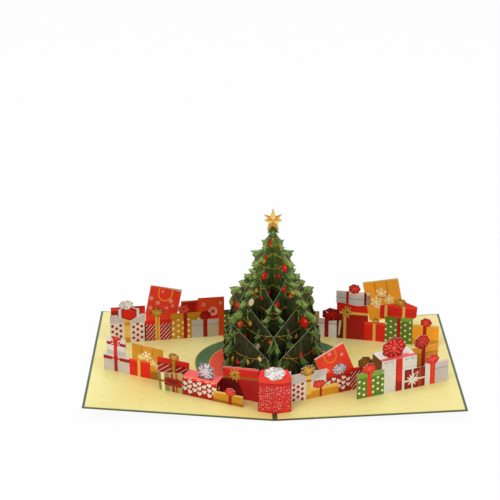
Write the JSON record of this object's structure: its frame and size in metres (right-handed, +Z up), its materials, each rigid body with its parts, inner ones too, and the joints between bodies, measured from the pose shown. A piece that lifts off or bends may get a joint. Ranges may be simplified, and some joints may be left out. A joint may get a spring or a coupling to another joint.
{
  "type": "pop-up greeting card",
  "caption": "Opened pop-up greeting card: slotted paper fir tree over the fold between walls of printed paper gift boxes and bags.",
  "frame": {"origin": "middle of the fold's underside, on the flat strip of the spine that the opened card rests on", "axes": "+X along the opened card's width to its right half, +Y along the fold away from the viewer, +Z up"},
  "size_m": [0.2994, 0.2, 0.1406],
  "materials": {
    "cover_card": "satin",
    "liner_paper": "satin",
    "fir_paper": "satin",
    "gift_paper": "satin"
  },
  "bodies": {
    "root": {"cover": "cover_card", "liner_left": "liner_paper", "liner_right": "liner_paper", "tree_slice_a1": "fir_paper", "tree_slice_a2": "fir_paper", "tree_slice_a3": "fir_paper", "tree_slice_a4": "fir_paper", "tree_slice_a5": "fir_paper", "tree_slice_a6": "fir_paper", "tree_slice_a7": "fir_paper", "tree_slice_b1": "fir_paper", "tree_slice_b2": "fir_paper", "tree_slice_b3": "fir_paper", "tree_slice_b4": "fir_paper", "tree_slice_b5": "fir_paper", "tree_slice_b6": "fir_paper", "tree_slice_b7": "fir_paper", "back_wall": "gift_paper", "front_wall": "gift_paper", "front_row_left": "gift_paper", "front_row_right": "gift_paper", "fold_box": "gift_paper"}
  },
  "joints": []
}
